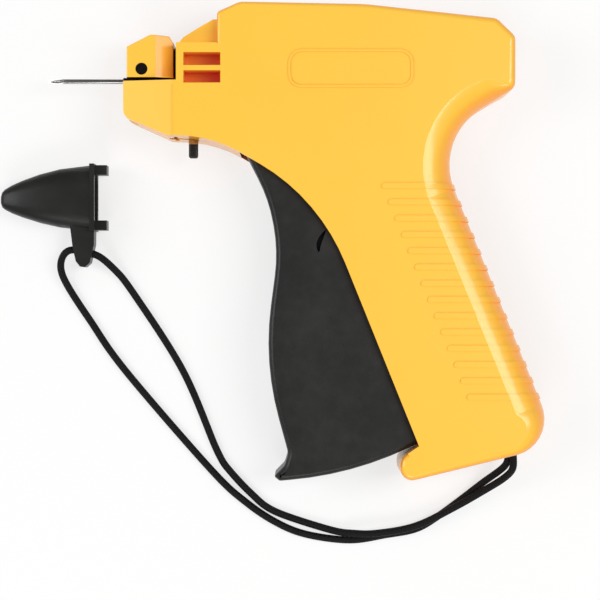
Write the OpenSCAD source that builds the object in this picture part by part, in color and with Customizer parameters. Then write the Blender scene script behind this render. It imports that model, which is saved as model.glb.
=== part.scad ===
// Garment tag attacher, lying on its side: X runs from the needle to the rear, Y up the handle,
// Z up through the thickness. Millimetres. The origin is the centre of the object's footprint.

/* [Body] */
// Thickness of the body between its flat sides
body_t = 26; // [26:0.5:30]
// Thickness of the wall along the edge of each shell
wall = 2.2; // [1.8:0.1:2.6]
// Thickness of the flat side of each shell
side_wall = 2.4; // [2:0.1:2.6]
// Height of the ribs and the raised frame above the flat sides
relief = 0.4; // [0.2:0.1:0.8]
// Radius of the rolled edge along the back of the grip
grip_roll = 10; // [8:0.5:11]
// Number of grip ribs
rib_count = 14; // [8:1:14]
// Distance between the grip ribs
rib_pitch = 5.2; // [4:0.1:5.2]
// Width of a grip rib
rib_w = 1.8; // [1:0.1:2.4]

/* [Nose] */
// Thickness of the nose at its front face
nose_t = 19; // [17:0.5:21]
// Width of the slot that lets the tag's thread through
thread_slot = 1.2; // [1:0.1:1.6]
// Width of the slot that the clip of tag pins runs down
clip_slot = 1.2; // [1:0.1:1.4]
// Width of the two windows beside the clip slot
window_w = 11.6; // [8:0.1:11.6]
// Depth of the windows
window_depth = 9.5; // [6:0.5:9.5]

/* [Needle] */
// Length of the needle in front of the nose
needle_out = 25.5; // [20:0.5:28]
// Outer diameter of the needle
needle_d = 1.6; // [1.4:0.1:2]
// Bore of the needle
needle_bore = 1.2; // [1.1:0.05:1.3]
// Diameter of the needle's shank, which is held in its base
shank_d = 2.4; // [2.2:0.1:2.6]
// Length of the shank that stands out of the nose
shank_out = 0.8; // [0.4:0.1:1]
// Length of the needle's base block
base_l = 12; // [10:0.5:12]
// Diameter of the ejector rod
rod_d = 1; // [0.8:0.05:1]

/* [Trigger] */
// Width of the trigger across its side plates
trigger_t = 20; // [18:0.5:20]
// Thickness of the trigger's plates
trigger_wall = 2; // [1.6:0.1:2.4]
// Angle that the trigger swings through, in degrees
trigger_swing = 14; // [10:0.5:14]
// Diameter of the pins that the trigger and the drive lever turn on
pivot_d = 4; // [3:0.1:4.4]

/* [Drive] */
// Travel of the slider and the ejector rod
stroke = 41; // [36:0.5:41]
// Thickness of the drive lever
lever_t = 4.6; // [3.6:0.2:5]
// Diameter of the two driving pins, one on the trigger and one on the slider
drive_pin_d = 3; // [2.4:0.1:3.2]
// Length of the slider
slider_l = 20; // [18:0.5:21]
// Width of the slider
slider_w = 8.4; // [7:0.2:8.4]
// Height of the slider across its two cheeks
slider_t = 11.2; // [10.4:0.2:12]
// Wire of the return spring
spring_wire = 1; // [0.8:0.05:1.2]
// Outer diameter of the return spring
spring_d = 9; // [7:0.5:9]
// Turns of the return spring
spring_turns = 9; // [6:1:9]

/* [Feed] */
// Number of teeth on the feed wheel
feed_teeth = 12; // [12:1:12]
// Radius of the feed wheel over its teeth
feed_r = 4.8; // [4.4:0.1:4.8]
// Thickness of the feed wheel
feed_t = 4; // [3:0.2:4]

/* [Cap and cord] */
// Length of the needle cap without its prongs
cap_l = 31.6; // [30:0.2:34]
// Thickness of the needle cap
cap_t = 13; // [12:0.5:16]
// Height of the cap's flange
cap_h = 22; // [22:0.2:23]
// Wall of the needle cap
cap_wall = 1.5; // [1.2:0.1:2]
// Diameter of the elastic cord
cord_d = 2.4; // [1.8:0.1:2.4]

/* [Fits] */
// Gap round a pin that is pressed in its seat
press_gap = 0.02; // [0.01:0.01:0.03]
// Gap round a pin in a running fit
run_gap = 0.06; // [0.04:0.01:0.1]
// Gap beside a part that slides
slide_gap = 0.3; // [0.2:0.05:0.4]

/* [Hidden] */

// Levels: the shells part at mid_z, and z = 0 is the face of the lower ribs and the lower frame
half_t = body_t / 2;
mid_z = half_t + relief;
roof = half_t - side_wall;

// Reference places, from the centre of the footprint
needle_y = 53.2;
slot_low = needle_y - 0.9;
slot_high = slot_low + thread_slot;
nose_x = -55.5;
crease_x = -39.6;
clip_x = -38.9;
window_top = 61;
window_right = -24.2;
trigger_pivot = [-10.8, 33.9];
lever_arm_angle = -40.2;
pivot_spacing = 41.7;
lever_pivot = trigger_pivot + pivot_spacing * [cos(lever_arm_angle), sin(lever_arm_angle)];
trigger_reach = 110.4;

// Outline of the shells, anticlockwise: x, y, fillet, rolled edge where the fillet starts and ends
outline_corners = [
    [clip_x + clip_slot / 2, slot_low, 0, 0, 0],
    [nose_x, slot_low, 0, 0, 0],
    [nose_x, 40.9, 3, 0, 0],
    [-41.0, 34.5, 2, 0, 0],
    [-27.1, 34.5, 41, 0, 0],
    [-2.0, 19.9, 62, 0, 0],
    [12.0, 3.3, 66, 0, 0],
    [39.5, -65.0, 0, 0, 0],
    [33.6, -68.9, 4.3, 1.6, 1.6],
    [33.6, -77.1, 3.8, 1.6, 2],
    [85.0, -64.6, 12, 2.6, grip_roll],
    [44.7, 34.5, 21.2, grip_roll, 8.4],
    [64.6, 46.45, 0, 7.8, 7.8],
    [70.5, 50.0, 3, 2.6, 2.2],
    [70.5, 66.4, 3, 2, 2],
    [64.5, 72.2, 3, 2, 2],
    [22.0, 76.7, 30, 1.6, 1.6],
    [-17.9, 77.4, 5, 1.2, 1.2],
    [-25.2, 74.1, 1.4, 1.2, 1],
    [-25.2, 64.2, 0, 1, 1],
    [clip_x + clip_slot / 2, 64.2, 0, 0, 0]];

// Points of the cord along its route: out of the grip, through the cap's eye and back again
cord_route = [
    [69.7, -62.7, 12.2], [69.7, -70, 12.2], [69, -72.4, 10.6], [67.2, -74.6, 7.8], [62, -79, 3.6],
    [56, -84, 1.7], [46.5, -91, 1.3], [39.8, -94.7, 1.3], [30, -96.5, 1.3], [18, -98.3, 1.3],
    [3.1, -96.3, 1.3], [-6.9, -92.2, 1.3], [-16.7, -85.6, 1.3], [-28.2, -74.9, 1.3], [-57, -41.6, 1.3],
    [-68.7, -24.9, 1.3], [-75.2, -15, 1.7], [-77.8, -9.6, 3.2], [-78.1, -6.2, 4.6], [-76.9, -3.2, 6],
    [-74.5, -1.4, 6.5], [-66, -3.2, 6.5], [-63.5, -5, 5], [-60.1, -8.3, 2.8], [-54.8, -15, 1.5],
    [-37.7, -41.7, 1.3], [-26.3, -68.4, 1.3], [-22, -75.2, 1.3], [-14.3, -83.3, 1.3], [-6.9, -88.8, 1.3],
    [12, -95, 1.5], [19.4, -95.8, 3.2], [26.3, -95.8, 3.9], [39.6, -93.4, 3.9], [52.4, -87.2, 4.1],
    [62.3, -81.4, 5.2], [68.6, -76.8, 9.4], [71.2, -73.2, 13.2], [70.9, -69, 14.6], [70.9, -62.7, 14.6]];
cord_step = 6.2;
cord_sides = 8;

// Drive: the slider's pin rides in the drive lever's long slot and the trigger's pin in its short
// one, so the lever's swing follows from the stroke and the radius of the drive pin from both swings
slider_y = needle_y;
arm_l = slider_y - lever_pivot.y;
lever_swing = 2 * atan(stroke / 2 / arm_l);
drive_r = pivot_spacing * tan(lever_swing / 2)
    / (tan(lever_swing / 2) * cos(trigger_swing / 2) - sin(trigger_swing / 2));
drive_place = trigger_pivot + polar(drive_r, lever_arm_angle - trigger_swing / 2);
notch_place = trigger_pivot + polar(pivot_spacing, lever_arm_angle - trigger_swing);
lever_rest = 90 - lever_swing / 2;
slider_pin_place = [lever_pivot.x + stroke / 2, slider_y];
slot_gap = 0.65;
lever_boss_r = 5.9;
lug_z = lever_t / 2 + 0.7;
lug_t = 2;
lever_pin_top = lug_z + lug_t + 0.8;
rail_gap_y = slider_w / 2 + slide_gap;
rail_x0 = -16;
rail_x1 = 54;
slider_head = 4;

// Return spring between the trigger's seat plate and a wall at the back of the grip
spring_front = [36.6, -48];
spring_back = [68.2, -42.6];
seat_w = 10;
seat_t = 2;
spring_gap = 0.1;

// Places in the nose
base_front = nose_x + 2;
base_rear = base_front + base_l;
base_t = 6.4;
base_below = 4;
base_above = 1.7;
block_floor = -4.4;
block_top = nose_t / 2 + 0.1;
block_screw = [-49.6, needle_y + 3];
block_screw_r = 1;
block_screw_end = -8.6;
wheel_place = [clip_x + clip_slot / 2 + 0.6 + feed_r, needle_y - 9];
wheel_z = -4.4;
shaft_r = 1.25;
pawl_place = wheel_place + polar(15, -18.5);
pawl_t = 3;
pawl_pin_r = 1;
blade_t = 0.5;
blade_l = 4.2;
blade_h = 5;
lock_x = [-35.4, -28.5];
lock_travel = 6;
peg_x = -34.9;
peg_w = 3;

// Screws that hold the shells together, and the seat of their heads
screw_places = [[-15, 70.5], [61.5, 65.5], [58, -61.5], [-47.5, 43.5], [44, 21]];
screw_d = 2.9;
screw_boss_r = 4;
screw_seat = 7;
screw_head_r = screw_d - 0.2;
screw_end = 8;

// Cap and knot
cap_axis_y = 15.5;
cap_mouth_x = -66;
cap_tip_x = cap_mouth_x - cap_l;
cap_eye = [-70.2, -2.3];
cap_eye_lean = -12;
cap_eye_gap = 0.35;
prong_from_axis = 9.1;
prong_t = 3.2;
prong_w = 6;
prong_l = 3.8;
cord_exit_x = (cord_route[0].x + cord_route[len(cord_route) - 1].x) / 2;
cord_exit_r = 2.9;
knot_y = wall - 66.4;
knot_l = 4.8;
knot_r = 3.2;

// ---- Functions ----

function unit(v) = v / norm(v);
function lerp(a, b, t) = a + (b - a) * t;
function flat(v) = [v.x, v.y];
function polar(r, a) = r * [cos(a), sin(a)];
function turned(p, a) = [p.x * cos(a) - p.y * sin(a), p.x * sin(a) + p.y * cos(a)];
function left_of(a, b) = let (d = unit(b - a)) [-d.y, d.x];

// Vector from a corner to the same corner of an outline that is inset by 1
function mitre(p, q, n) = let (a = left_of(p, q), b = left_of(q, n)) (a + b) / (1 + a * b);

// One corner turned into the points of its fillet, each with the rolled edge there
function fillet(p, c, n, r, roll_a, roll_b) =
    r <= 0 ? [[c.x, c.y, roll_a]] :
    let (u = unit(p - c), v = unit(n - c), half = acos(u * v) / 2,
        centre = c + unit(u + v) * r / sin(half),
        a = c + u * r / tan(half) - centre,
        b = c + v * r / tan(half) - centre,
        turn = (180 - 2 * half) * sign(cross(a, b)),
        steps = ceil(abs(turn) / min(30, 2 * acos(1 - 0.06 / max(r, 0.3)))))
    [for (i = [0:steps]) let (q = centre + turned(a, turn * i / steps))
        [q.x, q.y, lerp(roll_a, roll_b, i / steps)]];

// Corners inset by d, with convex fillets smaller and concave ones larger
function inset_corners(c, d) = let (n = len(c)) [for (i = [0:n - 1])
    let (p = flat(c[(i + n - 1) % n]), q = flat(c[i]), s = flat(c[(i + 1) % n]),
        w = q + mitre(p, q, s) * d, convex = cross(q - p, s - q) > 0,
        r = c[i][2] == 0 ? 0 : convex ? max(c[i][2] - d, 0) : c[i][2] + d)
    [w.x, w.y, r, inset_roll(c[i][3], d), inset_roll(c[i][4], d)]];
function inset_roll(roll, d) = roll == 0 || roll - d < 0.3 ? 0 : roll - d;

function outline(c) = let (n = len(c)) [for (i = [0:n - 1])
    each fillet(flat(c[(i + n - 1) % n]), flat(c[i]), flat(c[(i + 1) % n]), c[i][2], c[i][3], c[i][4])];

// Smooth curve through the points of a route, cut into steps of about the given length
function spline(a, b, c, d, t) = 0.5 * (2 * b + (c - a) * t + (2 * a - 5 * b + 4 * c - d) * t * t
    + (3 * b - a - 3 * c + d) * t * t * t);
function smooth_route(p, step) = let (n = len(p) - 1) concat(
    [for (i = [0:n - 1]) let (steps = max(1, round(norm(p[i + 1] - p[i]) / step)))
        each [for (k = [0:steps - 1])
            spline(p[max(i - 1, 0)], p[i], p[i + 1], p[min(i + 2, n)], k / steps)]],
    [p[n]]);
function tangent(p, i) = unit(p[min(i + 1, len(p) - 1)] - p[max(i - 1, 0)]);

// ---- Building blocks ----

// A skin over rings of points, closed at both ends from the first point of the ring
module skin(rings) {
    n = len(rings[0]);
    m = len(rings);
    sides = [for (i = [0:m - 2], k = [0:n - 1]) let (a = i * n + k, b = i * n + (k + 1) % n)
        each [[a, b + n, b], [a, a + n, b + n]]];
    caps = [for (k = [1:n - 2]) each [[0, k, k + 1], [(m - 1) * n, (m - 1) * n + k + 1, (m - 1) * n + k]]];
    polyhedron([for (r = rings) each r], concat(sides, caps));
}

// A round tube along a list of points
module tube(points, d, sides) {
    skin([for (i = [0:len(points) - 1]) let (t = tangent(points, i),
            u = unit(cross([0, 0, 1], t)), v = cross(t, u))
        [for (k = [0:sides - 1]) points[i] + d / 2 * (u * cos(360 * k / sides) + v * sin(360 * k / sides))]]);
}

module at_mid() {
    translate([0, 0, mid_z]) children();
}

module at(p) {
    translate([p.x, p.y, 0]) children();
}

module slab(z0, z1) {
    translate([0, 0, z0]) linear_extrude(z1 - z0) children();
}

module block(x0, x1, y0, y1, z0, z1) {
    translate([x0, y0, z0]) cube([x1 - x0, y1 - y0, z1 - z0]);
}

module rod(p, r, z0, z1) {
    translate([p.x, p.y, z0]) cylinder(r = r, h = z1 - z0, $fn = 48);
}

module along_x(x0, x1, y, z, r) {
    translate([x0, y, z]) rotate([0, 90, 0]) cylinder(r = r, h = x1 - x0, $fn = 48);
}

// ---- Shells ----

// The outline, inset by d, from z0 up to h
module flat_prism(d, z0, h) {
    slab(z0, h) polygon([for (p = outline(inset_corners(outline_corners, d))) flat(p)]);
}

// What is cut off at h so that the back, top and bottom edges are rolled
module edge_roll(d, h) {
    path = outline(inset_corners(outline_corners, d));
    n = len(path);
    rolled = [for (i = [0:n - 1]) if (path[i].z > 0.25) i];
    first = flat(path[rolled[0]]);
    before = flat(path[rolled[0] - 1]);
    lead_in = [first + unit(before - first) * 0.4, left_of(before, first), path[rolled[0]].z];
    stations = concat([lead_in], [for (i = rolled)
        [flat(path[i]), mitre(flat(path[(i + n - 1) % n]), flat(path[i]), flat(path[(i + 1) % n])), path[i].z]]);
    skin([for (s = stations)
        [for (c = roll_section(s[2], h)) [s[0].x + s[1].x * c[0], s[0].y + s[1].y * c[0], c[1]]]]);
}

// Section of what a rolled edge takes away: distance in from the edge, and height
function roll_section(roll, h) = let (steps = 5, over = 1, slip = 0.01 * roll,
        reach = roll + slip * (1 + 1 / tan(45 / steps)))
    concat([[-over, h + over], [-over, h - reach], [-slip, h - reach]],
        [for (k = [0:steps - 1]) let (a = 90 * (k + 0.5) / steps)
            [roll * (1 - cos(a)), h - roll * (1 - sin(a))]],
        [[reach, h + slip], [reach, h + over]]);

// Front of the nose, cut back so that it gets thinner towards the needle
module nose_taper(d) {
    front = nose_t / 2 - d;
    slope = (half_t - nose_t / 2) / (crease_x - nose_x);
    translate([0, 90, 0]) rotate([90, 0, 0]) linear_extrude(90)
        polygon([[crease_x, half_t - d], [nose_x - 5, front - 5 * slope], [nose_x - 5, half_t + 5],
            [crease_x, half_t + 5]]);
}

module rib_slabs() {
    back_x = 90;
    first = [28.4, 18.3];
    lean = 2.1 / 5.2;
    for (i = [0:rib_count - 1]) {
        y = first.y - i * rib_pitch;
        x = first.x + i * rib_pitch * lean;
        translate([x, y - rib_w / 2, 0]) square([back_x - x, rib_w]);
        translate([x, y]) circle(d = rib_w, $fn = 24);
    }
}

module raised_frame() {
    x0 = -2.4;
    x1 = 37.6;
    y0 = 49.8;
    y1 = 61.9;
    r = 4;
    line = 0.7;
    slab(half_t - 0.2, half_t + relief) difference() {
        translate([x0 + r, y0 + r]) offset(r) square([x1 - x0 - 2 * r, y1 - y0 - 2 * r]);
        translate([x0 + r, y0 + r]) offset(r - line) square([x1 - x0 - 2 * r, y1 - y0 - 2 * r]);
    }
}

// Opening along the front of the grip that the trigger swings through
module trigger_bay() {
    bay_edge = [[-18, 36, 0, 0, 0], [-18, 10, 0, 0, 0], [-36, -30, 0, 0, 0], [-36, -90, 0, 0, 0],
        [46, -90, 0, 0, 0], [43.6, -64, 0, 0, 0], [14.6, 9.6, 45, 0, 0], [-4, 27.6, 0, 0, 0]];
    slab(-1, roof) intersection() {
        polygon([for (p = outline(bay_edge)) flat(p)]);
        translate(trigger_pivot) circle(trigger_reach + 0.4, $fn = 180);
    }
}

// Everything that stands inside a half, from its side wall to the parting plane
module inner_bosses() {
    for (p = screw_places) rod(p, screw_boss_r, 0, roof + 0.5);
    rod(trigger_pivot, pivot_d / 2 + 2.5, trigger_t / 2 + 0.2, roof + 0.5);
    for (side = [-1, 1])
        block(rail_x0, rail_x1, slider_y + side * (rail_gap_y + 0.8) - 0.8,
            slider_y + side * (rail_gap_y + 0.8) + 0.8, lever_t / 2 + slide_gap, roof + 0.5);
    for (side = [-1, 1])
        block(rail_x0, rail_x1, slider_y + side * 2 - 0.8, slider_y + side * 2 + 0.8,
            slider_t / 2 + slide_gap, roof + 0.5);
    spring_seat();
}

// Wall that the return spring pushes against, with a spigot inside the coil
module spring_seat() {
    a = atan2(spring_back.y - spring_front.y, spring_back.x - spring_front.x);
    at(spring_back) rotate([0, 0, a])
        block(0, 3, -seat_w / 2, seat_w / 2, 0, roof + 0.5);
}

module half_shell() {
    difference() {
        union() {
            difference() {
                union() {
                    difference() {
                        flat_prism(0, 0, half_t);
                        edge_roll(0, half_t);
                    }
                    difference() {
                        slab(0, half_t + relief) intersection() {
                            rib_slabs();
                            polygon([for (p = outline(inset_corners(outline_corners, -relief))) flat(p)]);
                        }
                        edge_roll(-relief, half_t + relief);
                    }
                    raised_frame();
                }
                difference() {
                    flat_prism(wall, -1, roof);
                    edge_roll(wall, roof);
                    nose_taper(side_wall);
                }
                trigger_bay();
            }
            intersection() {
                inner_bosses();
                difference() {
                    flat_prism(0.6, 0, half_t - 0.6);
                    edge_roll(0.6, half_t - 0.6);
                }
            }
        }
        nose_taper(0);
        rod(trigger_pivot, pivot_d / 2 + press_gap, -1, half_t - 1);
        needle_hole();
        base_pocket();
        rod_hole();
        clip_channel();
        lock_slot();
        prong_groove(-1);
        cord_hole();
    }
}

module needle_hole() {
    along_x(nose_x - 1, base_front + 1, needle_y, 0, shank_d / 2 + press_gap);
}

module base_pocket() {
    block(base_front - press_gap, base_rear + press_gap, needle_y - base_below - press_gap,
        needle_y + base_above + press_gap, -base_t / 2 - press_gap, base_t / 2 + press_gap);
}

// Way of the ejector rod from behind the clip slot into the needle
module rod_hole() {
    along_x(base_rear - 1, rail_x0, needle_y, 0, rod_d / 2 + slide_gap);
}

module clip_channel() {
    block(clip_x - clip_slot / 2, clip_x + clip_slot / 2, 30, needle_y, -1, 7);
}

// Slot in the bottom edge of the nose that the lock's peg slides in
module lock_slot() {
    block(peg_x - lock_travel - slide_gap, peg_x + peg_w + slide_gap, 30, 38, -1, peg_w / 2 + 0.1 + slide_gap);
}

// Groove in the nose, above (1) or below (-1) the needle, that a prong of the cap snaps into
module prong_groove(side) {
    y = needle_y + side * (prong_from_axis + 1.6);
    block(nose_x - 1, nose_x + prong_l + 0.6, y - 3.4, y + 3.4, -prong_w / 2 - slide_gap, prong_w / 2 + slide_gap);
}

// Hole in the foot of the grip where both ends of the cord go in
module cord_hole() {
    translate([cord_exit_x, -74, 0]) rotate([-90, 0, 0]) cylinder(r = cord_exit_r, h = 10, $fn = 48);
}

module windows() {
    x0 = window_right - window_w;
    block(x0, window_right, needle_y + 3.9, window_top, half_t - window_depth, half_t + 1);
    block(x0, window_right, needle_y - 1.7, needle_y + 2, half_t - window_depth, half_t + 1);
}

// Floor and walls of the windows, which cover the rod
module window_box() {
    x0 = window_right - window_w;
    block(x0 - 1.2, window_right + 1.4, needle_y - 3, window_top + 2, half_t - window_depth - 1.4, roof + 0.5);
}

// Ramp beside the clip slot, set back from the flat side
module ramp() {
    slab(0, half_t - 5) polygon([[clip_x + clip_slot / 2, 63], [clip_x + clip_slot / 2, 63.9], [-36.3, 66.5],
        [-31.4, 69.6], [-26.6, 72.3], [-24, 72.3], [-24, 63]]);
}

// Pocket that the cutter blade is pushed into from the clip slot
module blade_pocket() {
    x = clip_x + clip_slot / 2;
    block(x - 0.5, x + 0.1 + blade_t + press_gap, slot_low - blade_l - press_gap, slot_low + 0.1, -1,
        blade_h + press_gap);
}

module upper_shell() {
    color("gold") at_mid() difference() {
        union() {
            half_shell();
            window_box();
            ramp();
        }
        windows();
        blade_pocket();
        for (p = screw_places) rod(p, screw_d / 2 - 0.15, -1, screw_end);
    }
}

block_outline = [[nose_x + 1.1, slot_high], [clip_x - clip_slot / 2, slot_high],
    [clip_x - clip_slot / 2, 64.8], [-40.9, 66.9], [-46.8, 67.2], [nose_x + 1.1, 63.3]];

module lower_shell() {
    color("gold") at_mid() difference() {
        union() {
            mirror([0, 0, 1]) half_shell();
            mirror([0, 0, 1]) ramp();
            rod(lever_pivot, lever_boss_r, -roof - 0.5, -lever_t / 2 - slide_gap);
            nose_shelf();
            rod(wheel_place, shaft_r + 1.75, -roof - 0.5, wheel_z - feed_t / 2 - slide_gap);
            rod(pawl_place, pawl_pin_r + 2, -roof - 0.5, wheel_z - pawl_t / 2 - slide_gap);
        }
        for (p = screw_places) {
            rod(p, screw_d / 2 + 0.1, -half_t - 1, 1);
            rod(p, screw_head_r + 0.3, -half_t - 1, -screw_seat);
        }
        rod(lever_pivot, pivot_d / 2 + press_gap, -half_t + 1, 0);
        rod(wheel_place, shaft_r + press_gap, -half_t + 1.4, 0);
        rod(pawl_place, pawl_pin_r + press_gap, -half_t + 1.4, 0);
        rod(block_screw, block_screw_r + press_gap, block_screw_end - 0.4, 0);
    }
}

// Shelf of the lower shell that the nose block is screwed to
module nose_shelf() {
    difference() {
        slab(-half_t, block_floor) polygon(concat([[nose_x + 1.1, 50], [clip_x + 2, 50], [clip_x + 2, 64],
            block_outline[2]], [for (i = [3:5]) block_outline[i]]));
        mirror([0, 0, 1]) nose_taper(0);
        block(nose_x, base_rear + 1, 49, needle_y + 1, -base_t / 2, 0);
    }
}

module nose_block() {
    slope_x = -45.1;
    color("gold") at_mid() difference() {
        slab(block_floor, block_top) polygon(block_outline);
        translate([0, 90, 0]) rotate([90, 0, 0]) linear_extrude(60)
            polygon([[slope_x, block_top], [-38, block_top - 3.6], [-38, block_top + 2], [slope_x, block_top + 2]]);
        needle_hole();
        base_pocket();
        rod_hole();
        prong_groove(1);
        rod(block_screw, block_screw_r + press_gap, block_floor - 1, block_top + 1);
        rod(block_screw, block_screw_r + 0.95, block_top - 1.2, block_top + 1);
    }
}

module nose_screw() {
    color("black") at_mid() {
        rod(block_screw, block_screw_r, block_screw_end, block_top - 0.4);
        rod(block_screw, block_screw_r + 0.9, block_top - 1.2, block_top + 0.1);
    }
}

// ---- Needle ----

// Hollow needle with a slit along the top for the tag's thread and a slanted tip
module needle() {
    tip = nose_x - needle_out;
    rear = base_rear - 0.5;
    color("silver") at_mid() difference() {
        union() {
            along_x(tip, nose_x, needle_y, 0, needle_d / 2);
            along_x(nose_x - shank_out, rear, needle_y, 0, shank_d / 2);
        }
        along_x(tip - 1, rear + 1, needle_y, 0, needle_bore / 2);
        block(tip - 1, rear + 1, needle_y - needle_bore * 0.3, needle_y + needle_bore * 0.3, 0, needle_d);
        translate([tip, needle_y, -needle_d / 2]) rotate([0, -14, 0]) block(-3, 12, -2, 2, 0, 4);
    }
}

module needle_base() {
    color("dimgray") at_mid() difference() {
        block(base_front, base_rear, needle_y - base_below, needle_y + base_above, -base_t / 2, base_t / 2);
        along_x(base_front - 1, base_rear + 1, needle_y, 0, shank_d / 2 + press_gap);
        block(base_front - 1, base_rear + 1, slot_low, slot_high, 0, base_t);
        block(base_front + 5, base_front + 8, needle_y - base_below - 1, needle_y - base_below + 1, -base_t, base_t);
    }
}

// Sliding catch under the nose, with its finger peg below
module needle_lock() {
    color("black") at_mid() {
        block(peg_x, peg_x + peg_w, 28.1, 37.2, -peg_w / 2 - 0.1, peg_w / 2 + 0.1);
        block(lock_x[0], lock_x[1], 37.2, 39, -peg_w / 2 - 0.1, 3.4);
    }
}

// ---- Trigger ----

trigger_corners = [
    [-15.9, 28.5, 0, 0, 0], [-8.7, 14.5, 55, 0, 0], [-5.7, -2.5, 53, 0, 0], [-10.4, -38.4, 92, 0, 0],
    [-2.4, -67.5, 4, 0, 0], [-3.6, -71.5, 3, 0, 0], [-7.0, -75.0, 0.6, 0, 0], [-5.2, -76.5, 1, 0, 0],
    [21.6, -74.3, 110, 0, 0], [42.4, -62.8, 0, 0, 0], [18.4, -2.4, 0, 0, 0], [14.0, 9.6, 20, 0, 0],
    [-5.0, 27.0, 0, 0, 0], [-5.4, 35.0, 3, 0, 0], [-8, 39.4, 4, 0, 0], [-15.6, 37.6, 4, 0, 0]];

module trigger_profile() {
    polygon([for (p = outline(trigger_corners)) flat(p)]);
}

// Inside of the trigger, open at the back
module trigger_hollow() {
    opened = concat([for (i = [0:4]) trigger_corners[i]], [[-2.6, -76.2, 0, 0, 0]], [for (i = [8:15])
        trigger_corners[i] + (i >= 9 && i <= 12 ? [8, 3, 0, 0, 0] : [0, 0, 0, 0, 0])]);
    polygon([for (p = outline(inset_corners(opened, trigger_wall))) flat(p)]);
}

// Arc-shaped notch that lets the side plates swing past the drive lever's boss
module lever_notch(r) {
    hull() {
        translate(notch_place) circle(r, $fn = 64);
        translate(lever_pivot + [1.6, 1.9]) circle(r, $fn = 64);
    }
}

module trigger() {
    z = trigger_t / 2;
    color([0.17, 0.17, 0.16]) at_mid() difference() {
        union() {
            difference() {
                slab(-z, z) trigger_profile();
                slab(-z + trigger_wall, z - trigger_wall) trigger_hollow();
            }
            rod(trigger_pivot, pivot_d / 2 + 2, -z, z);
            for (side = [-1, 1]) slab(side * (lug_z + lug_t / 2) - lug_t / 2, side * (lug_z + lug_t / 2) + lug_t / 2)
                lug_profile();
            slab(-2, 2) seat_profile();
            slab(-seat_w / 2, seat_w / 2) seat_plate();
        }
        slab(-z - 1, lever_pin_top + 0.4) lever_notch(lever_boss_r + 0.5);
        rod(trigger_pivot, pivot_d / 2 + run_gap, -z - 1, z + 1);
        rod(drive_place, drive_pin_d / 2 + press_gap, -z - 1, z + 1);
    }
}

// Plates that carry the drive pin behind the trigger
module lug_profile() {
    polygon([[-7, -15], [-8, -36], [8, -36], flat(drive_place + [4.2, -2.4])]);
    polygon([[-7, -15], [8, -36], flat(drive_place + [4.2, -2.4]), flat(drive_place + [0.5, 4.6]),
        flat(drive_place + [-4.4, 1.2]), [14, -15]]);
    translate(drive_place) circle(r = drive_pin_d / 2 + 2.9, $fn = 48);
}

module seat_profile() {
    polygon([[-8, -42], [-6, -54], [32, -54], [spring_front.x - 1, spring_front.y - 4],
        [spring_front.x - 1, spring_front.y + 4], [30, -42]]);
}

module seat_plate() {
    a = atan2(spring_back.y - spring_front.y, spring_back.x - spring_front.x);
    translate(spring_front) rotate(a) translate([-seat_t, -seat_w / 2]) square([seat_t, seat_w]);
}

module trigger_pivot_pin() {
    color("silver") at_mid() rod(trigger_pivot, pivot_d / 2, -half_t + 1.1, half_t - 1.1);
}

module drive_pin() {
    color("silver") at_mid() rod(drive_place, drive_pin_d / 2, -lug_z - lug_t - 1.2, lug_z + lug_t + 1.2);
}

// ---- Drive ----

module lever_slot(a, r0, r1, w) {
    hull() {
        translate(lever_pivot + polar(r0, a)) circle(d = w, $fn = 32);
        translate(lever_pivot + polar(r1, a)) circle(d = w, $fn = 32);
    }
}

module drive_lever() {
    low_a = atan2(drive_place.y - lever_pivot.y, drive_place.x - lever_pivot.x);
    low_r = norm(drive_place - lever_pivot);
    low_mid = drive_r - pivot_spacing;
    high_r = arm_l / cos(lever_swing / 2);
    t = lever_t / 2;
    color("steelblue") at_mid() difference() {
        union() {
            slab(-t, t) difference() {
                hull() {
                    translate(lever_pivot) circle(r = 5.4, $fn = 48);
                    translate(lever_pivot + polar(high_r + 1, lever_rest)) circle(r = 3.8, $fn = 48);
                }
                lever_slot(lever_rest, arm_l - 1, high_r + 1, drive_pin_d + 2 * slot_gap);
            }
            slab(-t, t) difference() {
                hull() {
                    translate(lever_pivot) circle(r = 5.4, $fn = 48);
                    translate(lever_pivot + polar(low_r + 0.2, low_a)) circle(r = 3.6, $fn = 48);
                }
                lever_slot(low_a, low_mid - 0.6, low_r + 0.6, drive_pin_d + 0.5);
            }
        }
        rod(lever_pivot, pivot_d / 2 + run_gap, -t - 1, t + 1);
    }
}

module lever_pivot_pin() {
    color("silver") at_mid() rod(lever_pivot, pivot_d / 2, -half_t + 1.1, lever_pin_top);
}

module slider() {
    z = slider_t / 2;
    x0 = slider_pin_place.x - slider_l * 0.6;
    x1 = x0 + slider_l;
    slot = lever_t / 2 + slide_gap;
    color("white") at_mid() difference() {
        block(x0, x1, slider_y - slider_w / 2, slider_y + slider_w / 2, -z, z);
        block(x0 + slider_head, x1 - 1.6, slider_y - slider_w, slider_y + slider_w, -slot, slot);
        along_x(x0 - 1, x0 + slider_head + 1, slider_y, 0, rod_d / 2 + press_gap);
        rod(slider_pin_place, drive_pin_d / 2 + press_gap, -z - 1, z + 1);
    }
}

module slider_pin() {
    color("silver") at_mid() rod(slider_pin_place, drive_pin_d / 2, -slider_t / 2, slider_t / 2);
}

module ejector_rod() {
    x1 = slider_pin_place.x - slider_l * 0.6 + slider_head;
    color("silver") at_mid() along_x(clip_x + clip_slot / 2 + 0.6, x1, needle_y, 0, rod_d / 2);
}

module slider_bumper() {
    x0 = slider_pin_place.x + slider_l * 0.4 + slide_gap;
    color([0.2, 0.2, 0.2]) at_mid()
        block(x0, x0 + 2.4, slider_y - 3.4, slider_y + 3.4, -slider_t / 2 - slide_gap, slider_t / 2 + slide_gap);
}

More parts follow.
